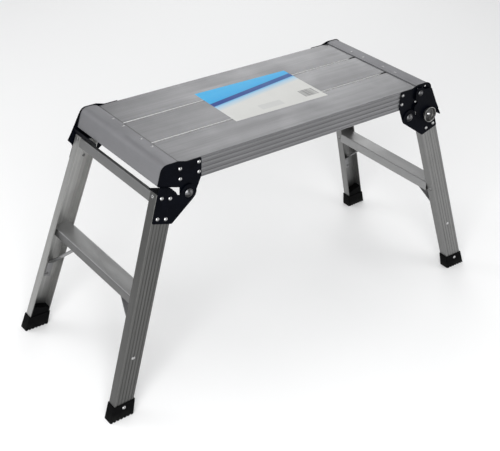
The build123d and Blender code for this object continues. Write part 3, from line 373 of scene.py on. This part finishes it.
# ---------------------------------------------------------------- materials
def extruded_aluminium(
    name, colour, direction, roughness, streak=0.05, under_scuffs=no_details, details=no_details
):
    """Mill-finish extrusion: fine die lines along its length, faint handling marks."""
    look = Surface(name)
    turn = turn_to(direction)
    lines = look.noise(look.mapped(rotation=turn, scale=DIE_LINES), 4.0, detail=5.0, roughness=0.7)
    bands = look.noise(look.mapped(rotation=turn, scale=SOFT_BANDS), 3.0, detail=2.0, roughness=0.5)
    clouds = look.noise(look.coords, 14.0, detail=5.0, roughness=0.6, distortion=0.3)
    fine = look.noise(look.mapped(rotation=turn, scale=FINE_GRAIN), 5.0, detail=3.0, roughness=0.6)
    scuffs = look.noise(
        look.mapped(rotation=turn, scale=SCUFFS), 6.0, detail=6.0, roughness=0.75, distortion=1.4
    )
    dark = tone(colour, 1 - streak * 1.5)
    base = look.mix(look.span(lines, MID, FULL), dark, tone(colour, 1 + streak))
    base = look.mix(look.span(bands, (0.35, 0.65), (0.0, 0.35)), base, dark)
    base = look.mix(look.span(clouds, (0.40, 0.75), (0.0, 0.25)), base, tone(colour, 0.86))
    base = under_scuffs(look, base, colour)
    base = look.mix(look.span(scuffs, (0.66, 0.78), (0.0, 0.30)), base, tone(colour, 1.22))
    base = details(look, base, colour)
    rough = look.plus(
        look.span(lines, MID, (roughness - 0.05, roughness + 0.05)),
        look.span(clouds, MID, (-0.04, 0.05)),
    )
    grain = look.plus(look.times(lines, 0.6), look.times(fine, 0.4))
    look.set(Base_Color=base, Metallic=0.9, Roughness=rough)
    look.set(Normal=look.bump(grain, 0.00012, 0.6))
    look.shader.inputs["Anisotropic"].default_value = 0.35
    return look.material


def powder_coat(name, colour):
    """Satin black powder coat with a fine orange peel and a few worn specks."""
    look = Surface(name)
    peel = look.noise(look.coords, 900.0, detail=2.0, roughness=0.5)
    patches = look.noise(look.coords, 35.0, detail=5.0, roughness=0.65)
    specks = look.noise(look.coords, 420.0, detail=3.0, roughness=0.7, distortion=0.5)
    scratched = look.mapped(rotation=COAT_SCRATCH_TURN, scale=COAT_SCRATCHES)
    scratches = look.noise(scratched, 4.0, detail=4.0, roughness=0.6)
    paler = tuple(part * 1.8 + 0.0005 for part in colour)
    base = look.mix(look.span(patches, (0.35, 0.7), FULL), colour, paler)
    base = look.mix(look.span(scratches, (0.68, 0.74), (0.0, 0.45)), base, WORN_COAT)
    base = look.mix(look.span(specks, (0.72, 0.78), (0.0, 0.8)), base, COAT_SPECK)
    rough = look.plus(look.span(patches, MID, (0.30, 0.46)), look.span(peel, MID, (-0.03, 0.04)))
    look.set(Base_Color=base, Roughness=rough, Metallic=0.0, Normal=look.bump(peel, 0.00006, 0.7))
    look.shader.inputs["Specular IOR Level"].default_value = 0.03
    return look.material


def bright_steel(name, colour, roughness):
    """Zinc-plated steel, softly mottled, with painted shade on its lower half and on tails that face
    inwards.
    """
    look = Surface(name)
    mottle = look.noise(look.coords, 260.0, detail=4.0, roughness=0.6)
    grime = look.noise(look.coords, 70.0, detail=5.0, roughness=0.7)
    base = look.mix(look.span(mottle, MID, FULL), tone(colour, 0.82), colour)
    base = look.mix(look.span(grime, (0.55, 0.8), (0.0, 0.5)), base, tone(colour, 0.45))
    # Painted shade: the lower half, and tails that face inwards, darkened.
    outward, upward = look.facing()
    painted_under_shade = look.span(upward, (-0.22, 0.10), (0.92, 0.0))
    painted_inner_shade = look.span(outward, (-0.6, -0.2), (0.8, 0.0))
    base = look.mix(look.math("MAXIMUM", painted_under_shade, painted_inner_shade), base, tone(colour, 0.10))
    rough = look.span(mottle, MID, (roughness - 0.06, roughness + 0.10))
    look.set(Base_Color=base, Roughness=rough, Metallic=1.0, Normal=look.bump(mottle, 0.00005, 0.5))
    return look.material


def pressed_cup(name, centre):
    """A pressed steel cup: a painted highlight on its rim, painted shade towards its floor, and smudged in
    patches.
    """
    look = Surface(name)
    wear = look.noise(look.coords, 240.0, detail=4.0, roughness=0.65)
    mottle = look.noise(look.coords, 500.0, detail=3.0, roughness=0.6)
    smudge = look.noise(look.coords, 55.0, detail=3.0, roughness=0.6)
    distance = look.length(look.mapped(location=centre))
    edge = look.plus(distance, look.span(wear, MID, (-0.0010, 0.0010)))
    # Painted shade: the cup darkens towards its floor, and smudges darken it in patches.
    bare_and_unshaded = look.times(look.span(edge, CUP_WALL, (0.25, 1.0)), look.span(smudge, (0.40, 0.58), (0.12, 1.0)))
    metal = look.mix(mottle, CUP_DARK, CUP_LIGHT)
    # Painted highlight: a paler rim.
    metal = look.mix(look.span(edge, CUP_RIM, FULL), metal, CUP_RIM_HIGHLIGHT)
    look.set(Base_Color=look.mix(bare_and_unshaded, CUP_SMUDGE_AND_SHADE, metal))
    look.set(Metallic=look.span(bare_and_unshaded, (0.2, 0.6), (0.4, 1.0)))
    look.set(Roughness=look.span(wear, MID, (0.26, 0.42)), Normal=look.bump(mottle, 0.00006, 0.5))
    look.shader.inputs["Specular IOR Level"].default_value = 0.3
    return look.material


def moulded_rubber(name, colour):
    """Matt rubber with a pebbled skin and dusty lower edges."""
    look = Surface(name)
    pebble = look.noise(look.coords, 1100.0, detail=2.0, roughness=0.5)
    dust = look.noise(look.coords, 60.0, detail=6.0, roughness=0.7)
    low = look.span(look.axes(look.coords)[2], (0.0, SOLE_DUST_TOP), (1.0, 0.0))
    sole = look.times(low, look.span(dust, (0.35, 0.65), (0.0, 0.7)))
    base = look.mix(look.span(dust, (0.4, 0.75), (0.0, 0.5)), colour, RUBBER_DUST)
    base = look.mix(sole, base, SOLE_DUST)
    rough = look.span(dust, MID, (0.55, 0.78))
    look.set(Base_Color=base, Roughness=rough, Metallic=0.0, Normal=look.bump(pebble, 0.00012, 0.8))
    look.shader.inputs["Specular IOR Level"].default_value = 0.03
    return look.material


def label_picture(look, across, up):
    """The label's colours: a sky-blue panel, a slanted dark band and a pale lower part."""
    slanted = look.minus(up, look.times(across, LABEL_BAND_SLANT))
    colours = look.ramp(look.plus(slanted, 0.5), LABEL_STOPS)
    sheen = look.times(look.span(across, (-0.5, 0.1), (0.0, 0.18)), look.span(up, (0.1, 0.5), FULL))
    return look.mix(sheen, colours, LABEL_SKY_SHEEN)


def label_blocks(look, colours, across, up):
    """A grey striped block and a fainter plain one on the label's pale part."""
    stripes = look.noise(look.mapped(scale=LABEL_BARS), 1.0, detail=1.0)
    block = look.patch(across, up, centre=(0.39, -0.28), half=(0.075, 0.10))
    bars = look.times(block, look.span(stripes, (0.45, 0.55), (0.35, 0.85)))
    colours = look.mix(bars, colours, LABEL_BLOCK_GREY)
    faint = look.patch(across, up, centre=(-0.05, -0.33), half=(0.12, 0.07))
    return look.mix(look.times(faint, 0.22), colours, LABEL_FAINT_GREY)


def printed_label(name):
    """A paper label with a low gloss and a plain generic print."""
    look = Surface(name)
    place = look.mapped(
        location=(*LABEL_CENTRE, 0), rotation=(0, 0, LABEL_TURN), scale=(*LABEL_SIZE, 1)
    )
    across, up, _ = look.axes(place)
    fibres = look.noise(look.coords, 700.0, detail=3.0, roughness=0.6)
    stain = look.noise(look.coords, 22.0, detail=4.0, roughness=0.6)
    colours = label_blocks(look, label_picture(look, across, up), across, up)
    colours = look.mix(look.span(stain, (0.4, 0.8), (0.0, 0.10)), colours, LABEL_STAIN)
    skin = look.bump(look.plus(look.times(fibres, 0.3), stain), 0.00035, 0.35)
    look.set(Base_Color=colours, Roughness=look.span(fibres, MID, (0.30, 0.42)))
    look.set(Metallic=0.0, Normal=skin)
    look.shader.inputs["Specular IOR Level"].default_value = 0.08
    return look.material


def pale_floor(name, colour, roughness):
    """A near-plain surface for the floor, with a barely visible tone drift."""
    look = Surface(name)
    drift = look.noise(look.coords, 0.8, detail=2.0, roughness=0.5)
    base = look.mix(look.span(drift, MID, (0.0, 0.02)), colour, tone(colour, 0.9))
    look.set(Base_Color=base, Roughness=roughness)
    return look.material


def along_leg(side, end):
    """The direction that one corner's leg runs in."""
    x = math.sin(LEG_SPLAY) * (1 if side == "right" else -1)
    y = math.tan(LEG_FLARE) * (1 if end == "back" else -1)
    return (x, y, -math.cos(LEG_SPLAY))


def make_leg_metal(side, end):
    """One corner's leg metal, in that corner's grey of painted light and shade."""
    return extruded_aluminium(
        f"leg_aluminium_{side}_{end}", LEG_LIT_AND_SHADED_GREYS[side, end], along_leg(side, end), 0.42,
        streak=0.24, details=leg_details(FLUTE_PAINTED_SHADE[side, end]),
    )


def make_step_metal(side):
    """One step's metal, in its own grey of painted light and shade, with painted light and shade on its
    tread.
    """
    return extruded_aluminium(
        f"step_{side}", STEP_LIT_AND_SHADED_GREYS[side], ALONG_Y, 0.42, details=painted_tread_light(TREAD_PAINTED_LIGHT[side])
    )


# ---------------------------------------------------------------- finishes on the CAD nodes
deck_metal = extruded_aluminium(
    "deck_aluminium", DECK_GREY, ALONG_X, 0.40,
    streak=0.15, under_scuffs=broad_streaks, details=deck_details,
)
cap_metal = extruded_aluminium("cap_aluminium", CAP_GREY, ALONG_Y, 0.60, streak=0.04)
cross_metal = extruded_aluminium("cross_aluminium", FRAME_GREY, ALONG_Y, 0.42)
brace_metal = extruded_aluminium("brace_steel", BRACE_GREY, ALONG_BRACE, 0.38, streak=0.07)
black_coat = powder_coat("black_powder_coat", COAT_BLACK)
rivet_metal = bright_steel("bright_rivet", RIVET_GREY, 0.26)
pivot_metal = bright_steel("pivot_steel", PIVOT_GREY, 0.30)
knob_metal = bright_steel("latch_bright", KNOB_GREY, 0.22)
spring_metal = bright_steel("spring_steel", SPRING_GREY, 0.34)
foot_rubber = moulded_rubber("foot_rubber", RUBBER_BLACK)
label_paper = printed_label("label_paper")
leg_metal = {corner: make_leg_metal(*corner) for corner in LEG_LIT_AND_SHADED_GREYS}
step_metal = {side: make_step_metal(side) for side in STEP_LIT_AND_SHADED_GREYS}


def material_for(node):
    """Which finish a CAD node gets."""
    side = node.split("_")[0]
    end = node.split("_")[-1]
    if node == "product_label":
        return label_paper
    if "spring" in node or "washers" in node:
        return spring_metal
    if node.endswith("latch_cup"):
        low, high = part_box(node)
        return pressed_cup(f"latch_cup_{side}", tuple((low + high) / 2))
    if node.endswith("latch_knob"):
        return knob_metal
    if node == "pivot_rivets" or node.endswith("latch_pivot"):
        return pivot_metal
    if "rivet" in node:
        return rivet_metal
    if "bracket" in node or "lever" in node:
        return black_coat
    if "_foot_" in node:
        return foot_rubber
    if "_leg_" in node:
        return leg_metal[side, end]
    if node.endswith("_step"):
        return step_metal[side]
    if node.startswith("deck_plank"):
        return deck_metal
    if node.startswith("end_cap"):
        return cap_metal
    if "_brace_" in node and not node.startswith("deck"):
        return brace_metal
    return cross_metal


def dress(node, material):
    """Give a CAD node its finished material."""
    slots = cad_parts[node].data.materials
    if not slots:
        slots.append(material)
    for index in range(len(slots)):
        slots[index] = material


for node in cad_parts:
    dress(node, material_for(node))


# ---------------------------------------------------------------- stage
def add_floor():
    """A wide pale floor."""
    mesh = bpy.data.meshes.new("floor")
    half = FLOOR_HALF
    corners = [(-half, -half), (half, -half), (half, half), (-half, half)]
    mesh.from_pydata([(x, y, -FLOOR_DROP) for x, y in corners], [], [(0, 1, 2, 3)])
    floor = bpy.data.objects.new("floor", mesh)
    bpy.context.scene.collection.objects.link(floor)
    mesh.materials.append(pale_floor("floor_pale", FLOOR_COLOUR, 0.9))


def add_softbox(name, place, target, size, power):
    """An area light at a place, facing a target, and hidden from the camera."""
    data = bpy.data.lights.new(name, "AREA")
    data.shape = "RECTANGLE"
    data.size, data.size_y = size
    data.energy = power
    light = bpy.data.objects.new(name, data)
    bpy.context.scene.collection.objects.link(light)
    light.location = place
    light.rotation_euler = (Vector(target) - Vector(place)).to_track_quat("-Z", "Y").to_euler()
    light.visible_camera = False


def add_world(colour, strength):
    """Even studio surroundings."""
    world = bpy.data.worlds.new("studio")
    world.use_nodes = True
    background = world.node_tree.nodes["Background"]
    background.inputs["Color"].default_value = (*colour, 1.0)
    background.inputs["Strength"].default_value = strength
    bpy.context.scene.world = world


add_floor()
add_world(WORLD_COLOUR, WORLD_STRENGTH)
for softbox in SOFTBOXES:
    add_softbox(*softbox)


# ---------------------------------------------------------------- camera
def camera_turn():
    """The camera's rotation, from its yaw, pitch and roll."""
    forward = Vector((
        math.sin(CAMERA_YAW) * math.cos(CAMERA_PITCH),
        math.cos(CAMERA_YAW) * math.cos(CAMERA_PITCH),
        -math.sin(CAMERA_PITCH),
    ))
    level = Vector((math.cos(CAMERA_YAW), -math.sin(CAMERA_YAW), 0.0))
    rise = level.cross(forward)
    right = level * math.cos(CAMERA_ROLL) + rise * math.sin(CAMERA_ROLL)
    up = rise * math.cos(CAMERA_ROLL) - level * math.sin(CAMERA_ROLL)
    return Matrix((right, up, -forward)).transposed().to_4x4()


def add_camera():
    """The bench seen from its front left, from above the deck."""
    data = bpy.data.cameras.new("camera")
    data.sensor_width = CAMERA_SENSOR
    data.sensor_fit = "HORIZONTAL"
    data.lens = CAMERA_LENS
    data.clip_end = CAMERA_REACH
    camera = bpy.data.objects.new("camera", data)
    bpy.context.scene.collection.objects.link(camera)
    camera.matrix_world = Matrix.Translation(CAMERA_PLACE) @ camera_turn()
    bpy.context.scene.camera = camera


add_camera()
bpy.context.scene.view_settings.view_transform = "Standard"
bpy.context.scene.view_settings.look = "None"
